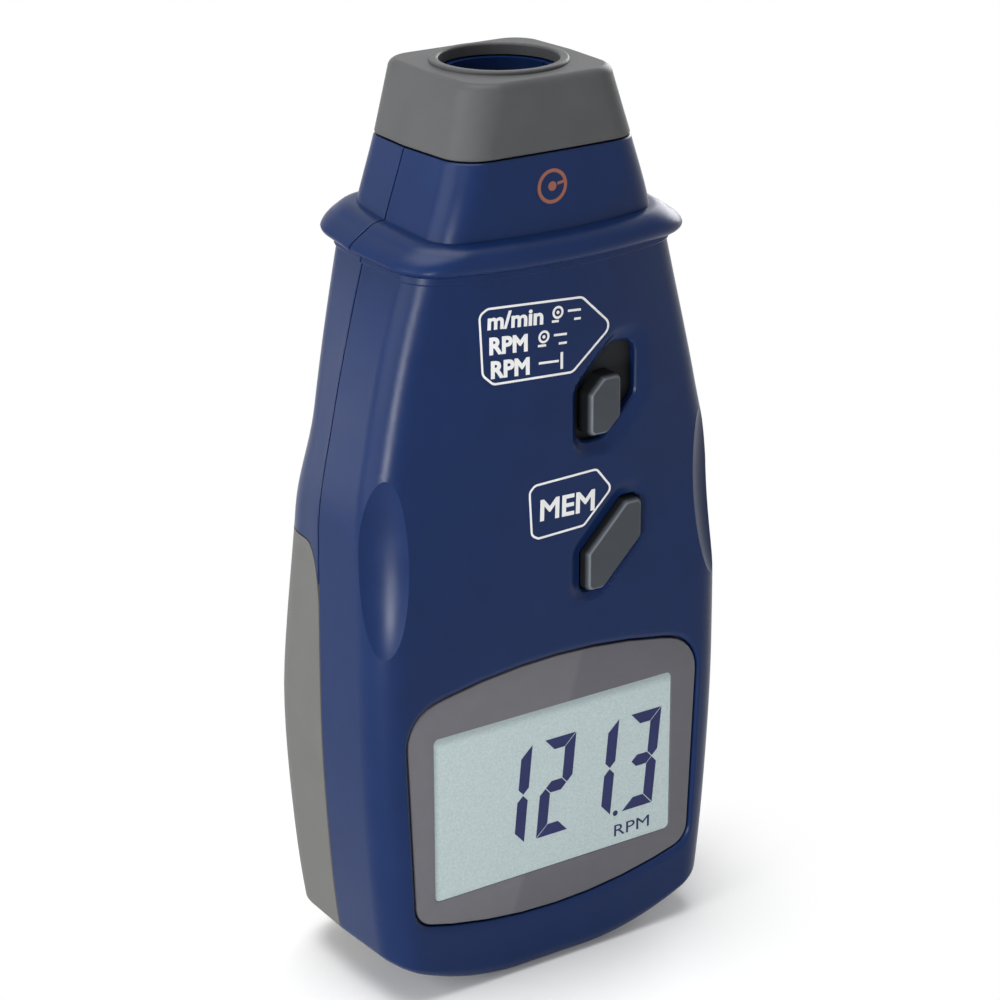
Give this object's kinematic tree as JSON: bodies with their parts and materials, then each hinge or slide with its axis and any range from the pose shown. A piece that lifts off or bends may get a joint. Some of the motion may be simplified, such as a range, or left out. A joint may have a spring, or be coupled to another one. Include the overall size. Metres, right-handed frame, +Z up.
{
  "type": "laser tachometer",
  "caption": "Hand-held laser tachometer with a moulded blue case, grey nose cap, display window, sliding mode knob, memory key, side button and battery cover.",
  "frame": {"origin": "centre of the base, where the parting plane of the two case halves meets the surface it stands on", "axes": "+Z up toward the nose, -Y toward the display side, +X to the right as seen from the display side"},
  "size_m": [0.0754, 0.0418, 0.16],
  "materials": {
    "case_blue": "fine-grained satin ABS",
    "cover_grey": "fine-grained satin ABS",
    "cap_grey": "satin ABS",
    "key_grey": "smooth satin plastic",
    "display_bezel": "glossy acrylic window with a printed grey border",
    "display_panel": "liquid crystal panel with a grey-green reflector",
    "dark_window": "smooth dark red filter",
    "frame_white": "natural plastic",
    "strip_rubber": "soft rubber",
    "board_green": "solder mask",
    "black_plastic": "plain black plastic",
    "bright_steel": "nickel-plated steel",
    "screw_steel": "zinc-plated steel",
    "brass_tube": "turned brass",
    "lens_red": "clear tinted optical plastic",
    "cell_sleeve": "plain metallic foil sleeve"
  },
  "bodies": {
    "case": {"front_shell": "case_blue", "rear_shell": "case_blue", "nose_cap": "cap_grey", "nose_window": "dark_window", "display_window": "display_bezel", "lcd_panel": "display_panel", "lcd_frame": "frame_white", "zebra_strip_upper": "strip_rubber", "zebra_strip_lower": "strip_rubber", "main_board": "board_green", "optics_board": "board_green", "processor_chip": "black_plastic", "quartz_crystal": "bright_steel", "filter_capacitor": "black_plastic", "mem_switch": "black_plastic", "mode_switch": "bright_steel", "measure_switch": "black_plastic", "optics_holder": "black_plastic", "laser_module": "brass_tube", "laser_lens": "lens_red", "receiver_lens": "lens_red", "photo_sensor": "black_plastic", "battery_1": "cell_sleeve", "battery_2": "cell_sleeve", "battery_3": "cell_sleeve", "battery_4": "cell_sleeve", "battery_spring_1": "bright_steel", "battery_spring_2": "bright_steel", "battery_spring_3": "bright_steel", "battery_spring_4": "bright_steel", "lower_contact_1": "bright_steel", "lower_contact_2": "bright_steel", "upper_contact_1": "bright_steel", "upper_contact_2": "bright_steel", "upper_contact_3": "bright_steel", "case_screw_1": "screw_steel", "case_screw_2": "screw_steel", "case_screw_3": "screw_steel", "case_screw_4": "screw_steel", "board_screw_1": "screw_steel", "board_screw_2": "screw_steel"},
    "cover": {"battery_cover": "cover_grey"},
    "mem": {"mem_key": "key_grey", "mem_plunger": "black_plastic"},
    "knob": {"mode_knob": "key_grey", "mode_shutter": "black_plastic"},
    "button": {"measure_button": "key_grey", "measure_plunger": "black_plastic"}
  },
  "joints": [
    {"name": "cover_slide", "type": "slide", "parent": "case", "child": "cover", "axis": [0, 0.2419, -0.9703], "range_m": [0, 0.09]},
    {"name": "mem_press", "type": "slide", "parent": "case", "child": "mem", "axis": [0, 1, 0], "range_m": [0, 0.0008], "stiffness_N_per_m": 300},
    {"name": "knob_slide", "type": "slide", "parent": "case", "child": "knob", "axis": [0.6157, 0, 0.788], "range_m": [0, 0.0046]},
    {"name": "button_press", "type": "slide", "parent": "case", "child": "button", "axis": [-1, 0, 0], "range_m": [0, 0.0012], "stiffness_N_per_m": 300}
  ]
}
